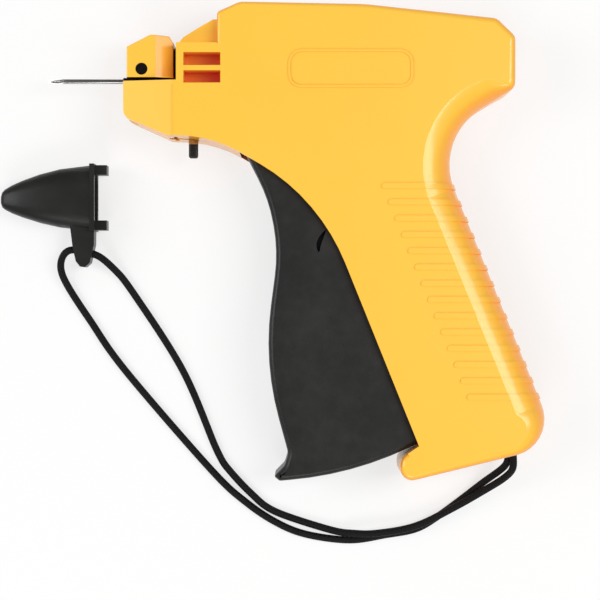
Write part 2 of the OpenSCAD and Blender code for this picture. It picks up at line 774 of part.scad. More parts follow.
module return_spring() {
    way = spring_back - spring_front;
    l = norm(way) - spring_wire - 2 * spring_gap;
    r = (spring_d - spring_wire) / 2;
    per_turn = 8;
    n = spring_turns * per_turn;
    coil = [for (i = [0:n]) let (a = 360 * i / per_turn) [l * i / n, r * cos(a), r * sin(a)]];
    color("silver") at_mid() translate([spring_front.x, spring_front.y, 0]) rotate([0, 0, atan2(way.y, way.x)])
        translate([spring_wire / 2 + spring_gap, 0, 0])
        skin([for (i = [0:n]) let (t = tangent(coil, i), u = unit(cross([1, 0, 0], t)), v = cross(t, u))
            [for (k = [0:5]) coil[i] + spring_wire / 2 * (u * cos(60 * k) + v * sin(60 * k))]]);
}

// ---- Feed ----

module feed_wheel() {
    root = feed_r - 1.1;
    color("white") at_mid() difference() {
        slab(wheel_z - feed_t / 2, wheel_z + feed_t / 2) translate(wheel_place)
            polygon([for (i = [0:feed_teeth - 1]) let (a = 360 * i / feed_teeth)
                each [polar(root, a), polar(feed_r, a + 3), polar(feed_r, a + 8), polar(root, a + 18)]]);
        rod(wheel_place, shaft_r + run_gap, -half_t, half_t);
    }
}

module feed_wheel_shaft() {
    color("silver") at_mid() rod(wheel_place, shaft_r, -half_t + 1.5, wheel_z + feed_t / 2 + 0.6);
}

// Pawl that pushes the feed wheel round by one tooth at each squeeze
module feed_pawl() {
    tip = wheel_place + polar(feed_r - 0.8, -33.5);
    color("white") at_mid() difference() {
        slab(wheel_z - pawl_t / 2, wheel_z + pawl_t / 2) {
            translate(pawl_place) circle(r = pawl_pin_r + 2, $fn = 40);
            polygon([tip, tip + [-0.05, -0.54], tip + [2.7, -2], flat(pawl_place + [-0.8, -2.8]),
                flat(pawl_place + [-0.6, 2.9]), tip + [3.2, -0.2], tip + [1.56, -0.41]]);
        }
        rod(pawl_place, pawl_pin_r + run_gap, -half_t, half_t);
    }
}

module pawl_pin() {
    color("silver") at_mid() rod(pawl_place, pawl_pin_r, -half_t + 1.5, wheel_z + pawl_t / 2 + 0.6);
}

// Bent leaf spring that stands on the bottom wall and clicks into the teeth of the feed wheel
module anti_reverse_spring() {
    foot = [wheel_place.x - 1.1, outline_corners[4].y + wall + 0.03];
    bend = foot + [7, 0];
    tip = wheel_place + polar(feed_r - 0.8, -66);
    leaf = 0.35;
    color("silver") at_mid() slab(wheel_z - 1.4, wheel_z + 1)
        polygon([foot, bend, bend + [leaf, leaf], tip + [leaf, 0], tip + [0, -0.2],
            bend + [-0.3, leaf], foot + [0, leaf]]);
}

module cutter_blade() {
    x0 = clip_x + clip_slot / 2 + 0.1;
    color("silver") at_mid() block(x0, x0 + blade_t, slot_low - blade_l, slot_low, 0, blade_h);
}

// Flat spring beside the clip slot that presses the clip of tag pins against the feed wheel
module clip_guide_spring() {
    x1 = clip_x - clip_slot / 2 + 0.35;
    color("silver") at_mid() block(x1 - 0.3, x1, needle_y + 2, 63, -3, 3);
}

// ---- Fasteners ----

module shell_screws() {
    color("silver") at_mid() for (p = screw_places) {
        difference() {
            rod(p, screw_head_r, -screw_seat - 2, -screw_seat);
            rod(p, 0.9, -screw_seat - 3, -screw_seat - 0.9);
        }
        rod(p, screw_d / 2 - 0.15, -screw_seat - 0.5, screw_end - 1);
    }
}

// ---- Cap and cord ----

// Shape of the cap: distance from the tip, half height and half thickness as shares of the flange's
cap_shape = [[0.2, 0.12, 0.2], [0.7, 0.235, 0.36], [1.6, 0.31, 0.45], [3.9, 0.425, 0.58],
    [7.2, 0.55, 0.71], [13.2, 0.735, 0.85], [19.8, 0.88, 0.94], [30.4, 0.99, 1]];

function cap_ring(x, y, hy, hz) = [for (k = [0:23]) let (a = 15 * k,
    c = cos(a), s = sin(a), e = 0.7)
    [x, y + hy * sign(c) * pow(abs(c), e), cap_t / 2 + hz * sign(s) * pow(abs(s), e)]];

module cap_body(d) {
    last = len(cap_shape) - 1;
    skin([for (i = [0:last]) let (s = cap_shape[i], mouth = i == last && d > 0 ? 2 : 0)
        cap_ring(cap_tip_x + s[0] + (i == last ? mouth : d), cap_axis_y - 0.8 * (1 - s[1]),
            max(cap_h / 2 * s[1] - d, 0.3 + 0.1 * i), max(cap_t / 2 * s[2] - d, 0.3 + 0.1 * i))]);
}

module needle_cap() {
    flange_x = cap_mouth_x - 1.6;
    lug = [[-74.4, 7], [-73.4, -1], [-72.4, -5.4], [-71, -7.2], [-69.4, -7.4], [-67.8, -6], [-66.4, 0],
        [cap_mouth_x - 0.3, 7]];
    color([0.17, 0.17, 0.16]) {
        difference() {
            union() {
                cap_body(0);
                block(flange_x, cap_mouth_x, cap_axis_y - cap_h / 2, cap_axis_y + cap_h / 2, 0, cap_t);
                slab(cap_t / 2 - 3.4, cap_t / 2 + 3.4) polygon(lug);
            }
            cap_body(cap_wall);
            at(cap_eye) rotate([0, 0, cap_eye_lean])
                along_x(-9, 9, 0, cap_t / 2, cord_d / 2 + cap_eye_gap);
        }
        for (side = [-1, 1])
            block(flange_x + 0.4, cap_mouth_x + prong_l, cap_axis_y + side * prong_from_axis - prong_t / 2,
                cap_axis_y + side * prong_from_axis + prong_t / 2, cap_t / 2 - prong_w / 2, cap_t / 2 + prong_w / 2);
    }
}

module lanyard_cord() {
    color([0.1, 0.1, 0.1]) tube(smooth_route(cord_route, cord_step), cord_d, cord_sides);
}

// Knot that keeps both ends of the cord inside the grip
module cord_knot() {
    color([0.1, 0.1, 0.1]) at_mid() translate([cord_exit_x, knot_y, 0]) rotate([-90, 0, 0])
        cylinder(r = knot_r, h = knot_l, $fn = 48);
}

lower_shell();
upper_shell();
nose_block();
nose_screw();
needle();
needle_base();
needle_lock();
trigger();
trigger_pivot_pin();
drive_pin();
drive_lever();
lever_pivot_pin();
slider();
slider_pin();
ejector_rod();
slider_bumper();
return_spring();
feed_wheel();
feed_wheel_shaft();
feed_pawl();
pawl_pin();
anti_reverse_spring();
cutter_blade();
clip_guide_spring();
shell_screws();
needle_cap();
lanyard_cord();
cord_knot();
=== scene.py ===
# %% [markdown]
# # A garment tag attacher, lying on its side
# The tool is a yellow plastic gun with a hollow needle, a black squeeze trigger and a black needle
# cap on an elastic cord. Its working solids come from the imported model, which is a fixed frame:
# every solid already has its place, in metres. This lesson gives each visible part its rounded
# edges and its finish.

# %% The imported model
import math
import bmesh
import bpy
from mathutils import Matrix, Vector


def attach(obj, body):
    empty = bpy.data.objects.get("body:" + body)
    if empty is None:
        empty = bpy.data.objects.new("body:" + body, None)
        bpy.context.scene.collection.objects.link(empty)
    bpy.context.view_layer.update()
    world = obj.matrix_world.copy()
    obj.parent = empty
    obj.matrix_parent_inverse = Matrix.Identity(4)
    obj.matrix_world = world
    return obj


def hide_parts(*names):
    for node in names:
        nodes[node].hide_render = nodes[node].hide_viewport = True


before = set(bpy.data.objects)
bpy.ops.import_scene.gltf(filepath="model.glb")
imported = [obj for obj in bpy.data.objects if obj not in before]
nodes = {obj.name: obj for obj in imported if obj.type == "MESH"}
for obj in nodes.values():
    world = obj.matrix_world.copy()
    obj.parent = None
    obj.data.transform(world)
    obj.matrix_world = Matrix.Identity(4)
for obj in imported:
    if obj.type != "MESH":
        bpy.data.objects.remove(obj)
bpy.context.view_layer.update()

# %% [markdown]
# ## The levels and the units
# The solids were drawn in millimetres and the scene is in metres, so one factor turns a drawing's
# number into a place here. The two shells meet at one level, and many steps below ask how far a
# point lies above or below it.

# %% Units and levels
MM = 0.001
MID_Z = 13.4 * MM
HALF_T = 13.0 * MM
TOP_Z = MID_Z + HALF_T


def mm(x, y, z=0.0):
    """A place given in millimetres, in metres."""
    return Vector((x, y, z)) * MM


print("parting level", MID_Z, "top", round(TOP_Z, 4))

# %% [markdown]
# ## The camera
# The photograph looks straight down on the tool from a little over half a metre. The side walls
# show by a different amount on each side, and that gives the height. A long lens on a high camera
# keeps the picture flat, and the camera's own axes already point down and up the page, so it needs
# no turning.

# %% Camera
camera_data = bpy.data.cameras.new("camera")
camera_data.sensor_width = 36.0
camera_data.lens = 107.64
camera = bpy.data.objects.new("camera", camera_data)
camera.location = mm(1.4, -18.2, 600.0)
bpy.context.scene.collection.objects.link(camera)
bpy.context.scene.camera = camera
print("camera", tuple(camera.location))

# %% [markdown]
# ## Writing materials as sums
# A procedural material is a small calculation for every point of a surface. Added by hand, the
# nodes of such a calculation fill pages. So one class wraps a number socket and lets it be used in
# Python sums, where each sum adds its Math node. The reflected forms are there so that 1 - mask
# works as well.

# %% Socket sums
class Number:
    """A number that the shader works out for each point."""

    def __init__(self, tree, socket):
        self.tree = tree
        self.socket = socket

    def _math(self, operation, *others, swap=False):
        node = self.tree.nodes.new("ShaderNodeMath")
        node.operation = operation
        values = [self, *others]
        if swap:
            values.reverse()
        for socket, value in zip(node.inputs, values):
            feed(self.tree, socket, value)
        return Number(self.tree, node.outputs[0])

    def __add__(self, other): return self._math("ADD", other)
    def __radd__(self, other): return self._math("ADD", other, swap=True)
    def __sub__(self, other): return self._math("SUBTRACT", other)
    def __rsub__(self, other): return self._math("SUBTRACT", other, swap=True)
    def __mul__(self, other): return self._math("MULTIPLY", other)
    def __rmul__(self, other): return self._math("MULTIPLY", other, swap=True)
    def __gt__(self, other): return self._math("GREATER_THAN", other)
    def __lt__(self, other): return self._math("LESS_THAN", other)
    def absolute(self): return self._math("ABSOLUTE")
    def sine(self): return self._math("SINE")
    def least(self, other): return self._math("MINIMUM", other)
    def most(self, other): return self._math("MAXIMUM", other)

    def between(self, low, high):
        """0 below low, 1 above high and a smooth step between."""
        node = self.tree.nodes.new("ShaderNodeMapRange")
        node.interpolation_type = "SMOOTHSTEP"
        for name, value in (("Value", self), ("From Min", low), ("From Max", high)):
            feed(self.tree, node.inputs[name], value)
        return Number(self.tree, node.outputs[0])


def feed(tree, socket, value):
    """Give a socket its value: a link, a colour or a plain number."""
    if isinstance(value, Number):
        tree.links.new(value.socket, socket)
    elif isinstance(value, bpy.types.NodeSocket):
        tree.links.new(value, socket)
    elif hasattr(value, "__len__") and len(value) == 3 and socket.type == "RGBA":
        socket.default_value = (*value, 1.0)
    else:
        socket.default_value = value


print("a Number wraps one socket")

# %% [markdown]
# ## A material and its other nodes
# Colours, noise and bumps aren't sums of numbers. They come from one method that makes a node of
# any kind, with its settings first, because a setting can change which sockets the node has, and
# its inputs after. The class also holds the material's main shader, so that each finish below is a
# few short lines. The same Mix node mixes numbers, vectors and colours, so its sockets for colours
# are found by their order.

# %% Finish
MIX_FACTOR, MIX_A, MIX_B, MIX_RESULT = 0, 6, 7, 2


class Finish:
    """A material on the Principled shader, with a short way to add nodes."""

    def __init__(self, name, **shader):
        self.material = bpy.data.materials.new(name)
        self.material.use_nodes = True
        self.tree = self.material.node_tree
        self.shader = self.tree.nodes["Principled BSDF"]
        for label, value in shader.items():
            self.set(label.replace("_", " "), value)

    def set(self, label, value):
        feed(self.tree, self.shader.inputs[label], value)

    def node(self, kind, settings=None, inputs=None, output=0):
        made = self.tree.nodes.new(kind)
        for label, value in (settings or {}).items():
            setattr(made, label, value)
        for label, value in (inputs or {}).items():
            feed(self.tree, made.inputs[label], value)
        return Number(self.tree, made.outputs[output])

    def place(self, source="Object"):
        return self.node("ShaderNodeTexCoord", output=source)

    def parts(self, vector):
        split = self.tree.nodes.new("ShaderNodeSeparateXYZ")
        feed(self.tree, split.inputs[0], vector)
        return [Number(self.tree, s) for s in split.outputs]

    def noise(self, size, detail=2.0, roughness=0.5, vector=None):
        """Cloudy noise from 0 to 1, with lumps of the given size in metres."""
        return self.node("ShaderNodeTexNoise", inputs={
            "Vector": vector or self.place(), "Scale": 1.0 / size,
            "Detail": detail, "Roughness": roughness})

    def mix(self, factor, a, b):
        return self.node("ShaderNodeMix", {"data_type": "RGBA"},
                         {MIX_FACTOR: factor, MIX_A: a, MIX_B: b}, output=MIX_RESULT)

    def bump(self, height, depth):
        """Raise the surface by height (0 to 1) times depth in metres, as light sees it."""
        self.set("Normal", self.node("ShaderNodeBump", inputs={
            "Height": height, "Distance": depth, "Strength": 1.0}))


print("a Finish holds one material")

# %% [markdown]
# ## The black cord's finish
# The elastic cord has a rubber core inside a braided sleeve of fine black thread. Two sets of
# threads wind round it in opposite directions and pass over and under each other. The cord's own
# UV map runs once round it and counts millimetres along it, so two slanted sine waves on that map
# make the two sets, and the higher one of the two shows at each point.

# %% Cord finish
THREAD_DARK = (0.0014, 0.0014, 0.0015)
THREAD_PALE = (0.006, 0.006, 0.0064)


def braid_finish(name, threads, pitch):
    """Threads are counted round the cord, and pitch is in millimetres along it."""
    finish = Finish(name, Roughness=0.62, Specular_IOR_Level=0.18)
    across, along, _ = finish.parts(finish.place("UV"))
    turn = 2 * math.pi
    left = (across * (turn * threads) + along * (turn / pitch)).sine()
    right = (across * (turn * threads) - along * (turn / pitch)).sine()
    weave = left.most(right) * 0.5 + 0.5
    fluff = finish.noise(0.0004, detail=3.0)
    finish.set("Base Color", finish.mix(weave * 0.7 + fluff * 0.3, THREAD_DARK, THREAD_PALE))
    finish.set("Roughness", 0.5 + fluff * 0.25)
    finish.bump(weave * 0.8 + fluff * 0.2, 0.12 * MM)
    return finish.material


braid = braid_finish("black_braid", threads=6, pitch=1.5)
print("finish", braid.name)

# %% [markdown]
# ## Putting pieces in the scene
# Each new piece gets the same last steps: its mesh is stored, its faces are shaded smooth except
# across sharp edges, large flat faces are made to decide the shading beside them, it is hung on
# the body it rides on, it gets its finishes, and the solids that it stands for are hidden.

# %% Finishing a piece
def make_piece(name, bm, finishes, body="body", replaces=(),
               sharp=35.0, recalculate=False, crease=None):
    """Make an object of the mesh. Edges over the angle sharp, or where crease says, stay sharp."""
    if recalculate:
        bmesh.ops.recalc_face_normals(bm, faces=bm.faces)
    mesh = bpy.data.meshes.new(name)
    bm.to_mesh(mesh)
    bm.free()
    for finish in finishes:
        mesh.materials.append(finish)
    mesh.polygons.foreach_set("use_smooth", [True] * len(mesh.polygons))
    mesh.set_sharp_from_angle(angle=math.radians(sharp))
    if crease:
        for edge in mesh.edges:
            if crease(*(mesh.vertices[i].co / MM for i in edge.vertices)):
                edge.use_edge_sharp = True
    piece = bpy.data.objects.new(name, mesh)
    bpy.context.scene.collection.objects.link(piece)
    weighted = piece.modifiers.new("flat_faces_first", "WEIGHTED_NORMAL")
    weighted.keep_sharp = True
    weighted.weight = 50
    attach(piece, body)
    if replaces:
        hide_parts(*replaces)
    print("piece", name, "faces", len(mesh.polygons))
    return piece


# %% [markdown]
# ## The cord
# The cord leaves the foot of the grip, runs round to the needle cap, through the eye of its lug,
# and back into the grip, where one knot holds both ends. It lies on the table under its own
# weight, one strand over the other where they cross. The route is a list of places that it passes,
# in millimetres, with a smooth curve through them. A curve that goes exactly through each place
# has small wobbles, so it is relaxed a little afterwards.

# %% The cord's route
CORD_D = 2.4 * MM
CORD_ROUTE = [mm(*p) for p in (
    (69.7, -62.7, 12.2), (69.7, -70, 12.2), (69, -72.4, 10.6), (67.2, -74.6, 7.8),
    (62, -79, 3.6), (56, -84, 1.7), (46.5, -91, 1.3), (39.8, -94.7, 1.3), (30, -96.5, 1.3),
    (18, -98.3, 1.3), (3.1, -96.3, 1.3), (-6.9, -92.2, 1.3), (-16.7, -85.6, 1.3),
    (-28.2, -74.9, 1.3), (-57, -41.6, 1.3), (-68.7, -24.9, 1.3), (-75.2, -15, 1.7),
    (-77.8, -9.6, 3.2), (-78.1, -6.2, 4.6), (-76.9, -3.2, 6), (-74.5, -1.4, 6.5),
    (-66, -3.2, 6.5), (-63.5, -5, 5), (-60.1, -8.3, 2.8), (-54.8, -15, 1.5),
    (-37.7, -41.7, 1.3), (-26.3, -68.4, 1.3), (-22, -75.2, 1.3), (-14.3, -83.3, 1.3),
    (-6.9, -88.8, 1.3), (12, -95, 1.5), (19.4, -95.8, 3.2), (26.3, -95.8, 3.9),
    (39.6, -93.4, 3.9), (52.4, -87.2, 4.1), (62.3, -81.4, 5.2), (68.6, -76.8, 9.4),
    (71.2, -73.2, 13.2), (70.9, -69, 14.6), (70.9, -62.7, 14.6))]


def smooth_route(points, step):
    """Places along a smooth curve through the points, about a step apart."""
    found = []
    last = len(points) - 1
    for i in range(last):
        a, b, c, d = (points[max(i - 1, 0)], points[i], points[i + 1], points[min(i + 2, last)])
        steps = max(1, round((c - b).length / step))
        for k in range(steps):
            t = k / steps
            found.append(0.5 * (2 * b + (c - a) * t + (2 * a - 5 * b + 4 * c - d) * t * t
                                + (3 * b - a - 3 * c + d) * t ** 3))
    return found + [points[last].copy()]


def relaxed(path, times):
    """Pull each place a little towards its neighbours, with both ends kept."""
    for _ in range(times):
        inner = [(a + 2 * b + c) / 4 for a, b, c in zip(path, path[1:], path[2:])]
        path = [path[0], *inner, path[-1]]
    return path


cord_path = relaxed(smooth_route(CORD_ROUTE, 1.0 * MM), 5)
print("places along the cord", len(cord_path))

# %% [markdown]
# ## A tube along the route
# A Blender curve with a bevel would make the same tube, but the braid needs to know how far along
# the cord a point lies. So the tube starts as one ring that is extruded from place to place, each
# ring turns with the curve, and a UV map notes the turn and the length as it goes.

# %% Tube
def tube_along(path, diameter, sides):
    """A tube and its length. Its first ring stays open, and its UV map is in turns and mm."""
    bm = bmesh.new()
    ring = bmesh.ops.create_circle(bm, segments=sides, radius=diameter / 2)["verts"]
    uv = bm.loops.layers.uv.new("along_the_cord")
    last = len(path) - 1
    tangents = [(path[min(i + 1, last)] - path[max(i - 1, 0)]).normalized()
                for i in range(len(path))]
    turned = tangents[0].to_track_quat("Z", "Y")
    end = bmesh.ops.contextual_create(bm, geom=ring)["faces"][0]
    shape = [corner.vert.co.copy() for corner in end.loops]
    where = {}
    length = 0.0
    for i, (place, tangent) in enumerate(zip(path, tangents)):
        if i:
            length += (place - path[i - 1]).length
            turned = tangents[i - 1].rotation_difference(tangent) @ turned
            end = bmesh.ops.extrude_discrete_faces(bm, faces=[end])["faces"][0]
        for k, corner in enumerate(end.loops):
            corner.vert.co = place + turned @ shape[k]
            where[corner.vert] = (k / sides, length / MM)
    for face in bm.faces:
        spread = [where[corner.vert] for corner in face.loops]
        wraps = max(s[0] for s in spread) - min(s[0] for s in spread) > 0.5
        for corner, (around, far) in zip(face.loops, spread):
            corner[uv].uv = (around + (1.0 if wraps and around < 0.5 else 0.0), far)
    return bm, length


cord_mesh, cord_length = tube_along(cord_path, CORD_D, 12)
print("cord length", round(cord_length, 4))

# %% [markdown]
# ## The knot inside the grip
# Both ends of the cord go through one hole and are tied together behind it, so that they can't
# slip out. The knot is hidden, but it is there: an overhand knot is a curve that winds twice round
# while it goes three times in and out. The same tube that made the cord follows that curve, a
# little thinner, because a tight knot stretches the elastic.

# %% Knot and cord in the scene
KNOT_CENTRE = mm(70.3, -61.8, 13.4)
KNOT_SIZE = mm(2.0, 1.2, 2.0)
KNOT_D = 1.9 * MM


def overhand_knot(centre, size, steps=72):
    path = []
    for k in range(steps):
        a = 2 * math.pi * k / steps
        x = (math.sin(a) + 2 * math.sin(2 * a)) / 3
        z = (math.cos(a) - 2 * math.cos(2 * a)) / 3
        path.append(centre + Vector((x * size.x, -math.sin(3 * a) * size.y, z * size.z)))
    return path


knot_mesh, _ = tube_along(overhand_knot(KNOT_CENTRE, KNOT_SIZE), KNOT_D, 10)
knot = make_piece("cord_end_knot", knot_mesh, [braid],
                  replaces=["cord_knot"], sharp=80, recalculate=True)
cord = make_piece("elastic_cord", cord_mesh, [braid],
                  replaces=["lanyard_cord"], sharp=80, recalculate=True)

# %% [markdown]
# ## The floor and the light
# The tool lies on a plain white surface in soft light. A strongly lit floor would wash the tool
# out, so the floor's own white is shown to the camera and to reflections through the Light Path
# node, mixed with its lit colour. Enough of the lit colour is left in the mix for a soft shadow
# under the tool.

# %% Floor
FLOOR_SIZE = 2.5
PLAIN_WHITE_SHARE = 0.68


def floor_finish():
    finish = Finish("white_floor", Roughness=0.9)
    finish.set("Base Color", (0.93, 0.925, 0.92))
    tree = finish.tree
    rays = tree.nodes.new("ShaderNodeLightPath")
    camera_ray, glossy_ray, clear_ray = (Number(tree, rays.outputs[f"Is {kind} Ray"])
                                         for kind in ("Camera", "Glossy", "Transmission"))
    seen = camera_ray.most(glossy_ray).most(clear_ray)
    white = tree.nodes.new("ShaderNodeEmission")
    white.inputs["Color"].default_value = (1.0, 1.0, 1.0, 1.0)
    white.inputs["Strength"].default_value = 1.0
    mixed = tree.nodes.new("ShaderNodeMixShader")
    feed(tree, mixed.inputs[0], seen * PLAIN_WHITE_SHARE)
    tree.links.new(finish.shader.outputs[0], mixed.inputs[1])
    tree.links.new(white.outputs[0], mixed.inputs[2])
    tree.links.new(mixed.outputs[0], tree.nodes["Material Output"].inputs["Surface"])
    return finish.material


floor_mesh = bmesh.new()
bmesh.ops.create_grid(floor_mesh, x_segments=2, y_segments=2, size=FLOOR_SIZE)
floor_data = bpy.data.meshes.new("floor")
floor_mesh.to_mesh(floor_data)
floor_mesh.free()
floor_data.materials.append(floor_finish())
floor = bpy.data.objects.new("floor", floor_data)
bpy.context.scene.collection.objects.link(floor)
print("floor", floor.name)

# %% [markdown]
# ## Soft light
# Three large lamps stand round the tool at a steep angle, and a plain pale sky fills the rest.
# Each lamp draws its own soft line along the edges that tilt its way: along the back roll of the
# grip, the front of the trigger and the lower flank of the cap.

# %% Lamps and sky
SKY_LEVEL = 0.38


def softbox(name, place, size, power):
    """A flat rectangular lamp that looks at the tool, at the origin."""
    lamp = bpy.data.lights.new(name, "AREA")
    lamp.shape = "RECTANGLE"
    lamp.size, lamp.size_y = size
    lamp.energy = power
    made = bpy.data.objects.new(name, lamp)
    made.location = place
    made.rotation_euler = (-Vector(place)).to_track_quat("-Z", "Y").to_euler()
    bpy.context.scene.collection.objects.link(made)
    print("lamp", name, power)


softbox("lamp_right", (0.62, 0.1, 1.0), (0.35, 0.7), 5.6)
softbox("lamp_left", (-0.95, 0.1, 0.8), (0.5, 0.7), 5.0)
softbox("lamp_front", (-0.1, -0.95, 0.85), (0.7, 0.4), 4.2)

world = bpy.data.worlds.new("pale_sky")
world.use_nodes = True
sky = world.node_tree.nodes["Background"]
sky.inputs["Color"].default_value = (1.0, 1.0, 1.0, 1.0)
sky.inputs["Strength"].default_value = SKY_LEVEL
bpy.context.scene.world = world
bpy.context.scene.view_settings.view_transform = "Standard"

# %% [markdown]
# ## Places with painted shade
# In narrow and deep places the light bounces from wall to wall and takes on the plastic's colour:
# in the two windows, in the slot beside the nose block and in the bay where the trigger goes in.
# That coloured shade is painted into the plastic's colour here. The slope of the block and the
# crease of the nose get a little painted orange shade over the flat faces' colour. A shader can
# only ask where a point lies, so each place is written down here as a box or a line in
# millimetres, seen from above.

# %% Places on the nose
CREASE_X, CREASE_TOP_Y = -39.6, 51.0
WINDOW_LOW, WINDOW_HIGH, WINDOW_DEPTH = (-35.8, 51.5), (-24.2, 61.0), 8.0
SLOT_LOW, SLOT_HIGH, SLOT_TOP = (-39.6, 54.0), (-38.25, 66.2), 8.6
SLOPE_LOW, SLOPE_HIGH = (-45.2, 54.0), (-39.6, 67.5)
BAY_LOW, BAY_HIGH, BAY_HALF_T = (-18.05, 20.0), (-4.0, 36.0), 10.75


def inside_box(x, y, low, high, margin=0.0):
    """1 where a point lies between two corners given in millimetres, seen from above."""
    return (x > (low[0] - margin) * MM) * (x < (high[0] + margin) * MM) \
        * (y > (low[1] - margin) * MM) * (y < (high[1] + margin) * MM)


print("window", WINDOW_LOW, "to", WINDOW_HIGH)

# %% [markdown]
# ## The yellow plastic
# The body is moulded in glossy yellow plastic. It is purer yellow where it faces up to the
# light and orange where it turns away; that orange is painted shade, set by the way each face
# points. The surface has a very fine orange-peel texture and faint cloudy patches from the mould.
# The places above then go over that colour as painted shade, one after the other. In the windows
# the depth turns it amber, and red-orange towards their lower right corners.

# %% Yellow plastic
YELLOW = (1.0, 0.585, 0.052)
ORANGE = (1.0, 0.36, 0.018)
AMBER = (1.0, 0.3, 0.012)
RED_ORANGE = (0.95, 0.085, 0.002)
PAINTED_SHADE_RED_BROWN = (0.3, 0.05, 0.006)


def yellow_finish():
    finish = Finish("yellow_plastic", Roughness=0.3, IOR=1.46, Coat_Weight=0.35,
                    Coat_Roughness=0.12)
    x, y, z = finish.parts(finish.place())
    normal = finish.parts(finish.node("ShaderNodeNewGeometry", output="Normal"))
    cloud = finish.noise(0.03, detail=3.0)
    # painted shade: faces that turn away from level get orange; the cloud adds a random tone
    turned = 1 - normal[2].absolute().between(0.55, 0.97)
    colour = finish.mix(turned * 0.8 + cloud * 0.12, YELLOW, ORANGE)

    # painted shade: deeper in the windows the colour turns amber, and red-orange towards the lower
    # right
    window = inside_box(x, y, WINDOW_LOW, WINDOW_HIGH, margin=0.4)
    depth = 1 - z.between(TOP_Z - WINDOW_DEPTH * MM, TOP_Z - 0.1 * MM)
    rightwards = x.between((WINDOW_LOW[0] + 3) * MM, WINDOW_HIGH[0] * MM)
    downwards = 1 - y.between((WINDOW_LOW[1] + 2) * MM, WINDOW_HIGH[1] * MM)
    deep = finish.mix((rightwards * 0.6 + downwards * 0.4).least(1.0), AMBER, RED_ORANGE)
    colour = finish.mix(window * depth.least(1.0), colour, deep)

    # painted shade: the nose's crease and the block's slope are laid over with orange
    from_crease = (x - CREASE_X * MM).absolute()
    crease = (1 - from_crease.between(0.1 * MM, 0.8 * MM)) * (y < CREASE_TOP_Y * MM)
    slope = inside_box(x, y, SLOPE_LOW, SLOPE_HIGH)
    colour = finish.mix(crease * 0.3 + slope * 0.45, colour, ORANGE)

    # painted shade: the slot beside the block and the trigger's bay are painted red-brown
    slot = inside_box(x, y, SLOT_LOW, SLOT_HIGH) * (z < MID_Z + SLOT_TOP * MM)
    bay = inside_box(x, y, BAY_LOW, BAY_HIGH) * ((z - MID_Z).absolute() < BAY_HALF_T * MM)
    finish.set("Base Color", finish.mix((slot + bay).least(1.0), colour, PAINTED_SHADE_RED_BROWN))

    peel = finish.noise(0.0006, detail=2.0)
    scuff = finish.noise(0.012, detail=5.0, roughness=0.65)
    finish.set("Roughness", 0.26 + scuff * 0.12)
    finish.bump(peel * 0.6 + cloud * 0.4, 0.02 * MM)
    return finish.material


yellow = yellow_finish()
print("finish", yellow.name)

# %% [markdown]
# ## The satin plastics
# The cap and the lock's peg are black plastic with a satin surface. Light handling leaves slightly
# shinier patches, and the moulding gives a fine grain, so roughness and bump both come from noise.
# The same function makes the grey and white plastics inside, the rubber of the bumper, and a very
# dark finish for the places that lie in deep shade.

# %% Satin plastics
BLACK = (0.0075, 0.0075, 0.0068)


def satin_finish(name, colour, worn, roughness, grain=0.015, gloss=0.5):
    """A plastic with cloudy wear. The grain is the height of its bumps in millimetres."""
    finish = Finish(name, Roughness=roughness, Specular_IOR_Level=gloss)
    cloud = finish.noise(0.02, detail=4.0, roughness=0.6)
    fine = finish.noise(0.0005, detail=2.0)
    finish.set("Base Color", finish.mix(cloud.between(0.35, 0.75), colour, worn))
    finish.set("Roughness", roughness - 0.06 + cloud * 0.14)
    finish.bump(fine, grain * MM)
    return finish.material


black = satin_finish("black_satin", BLACK, (0.0135, 0.0135, 0.0125), 0.36, gloss=0.3)
# painted shade: a near-black finish laid on faces that lie in deep shade
shadow_black = satin_finish("black_shadow", (0.002, 0.002, 0.002), (0.003, 0.003, 0.003), 0.7, gloss=0.1)
grey = satin_finish("grey_satin", (0.13, 0.13, 0.14), (0.17, 0.17, 0.18), 0.45)
white = satin_finish("white_satin", (0.76, 0.76, 0.72), (0.83, 0.83, 0.8), 0.42)
rubber = satin_finish("black_rubber", (0.018, 0.018, 0.018), (0.03, 0.03, 0.03), 0.8, grain=0.05)
print("finishes", *(made.name for made in (black, shadow_black, grey, white, rubber)))

# %% [markdown]
# ## The trigger's finish
# Fingers polish the trigger, so its black is cloudy and mottled, paler in some places than in
# others. One noise would look too even, so two are mixed: one with lumps as wide as a finger, and
# one much finer.

# %% Trigger's plastic
def trigger_finish():
    finish = Finish("trigger_black", Specular_IOR_Level=0.34)
    cloud = finish.noise(0.018, detail=4.0, roughness=0.6)
    mottle = finish.noise(0.0035, detail=3.0, roughness=0.6)
    fine = finish.noise(0.0005, detail=2.0)
    worn = (cloud * 0.6 + mottle * 0.4).between(0.35, 0.72)
    finish.set("Base Color", finish.mix(worn, BLACK, (0.0175, 0.0172, 0.0162)))
    finish.set("Roughness", 0.32 + cloud * 0.14)
    finish.bump(fine * 0.5 + mottle * 0.5, 0.03 * MM)
    return finish.material


trigger_black = trigger_finish()
print("finish", trigger_black.name)

# %% [markdown]
# ## The metals
# The needle is ground steel, the pins are turned, and the springs are drawn, and all of them keep
# the fine marks of their making. A noise stretched along one axis makes such marks: the Mapping
# node scales that axis down, so the pattern changes more slowly along it.

# %% Metals
def metal_finish(name, colour, dark, roughness, stretch=(1.0, 1.0, 1.0)):
    finish = Finish(name, Metallic=1.0)
    along = finish.node("ShaderNodeMapping", inputs={"Vector": finish.place(), "Scale": stretch})
    marks = finish.noise(0.0006, detail=4.0, vector=along)
    finish.set("Base Color", finish.mix(marks, dark, colour))
    finish.set("Roughness", roughness - 0.08 + marks * 0.2)
    finish.bump(marks, 0.008 * MM)
    return finish.material


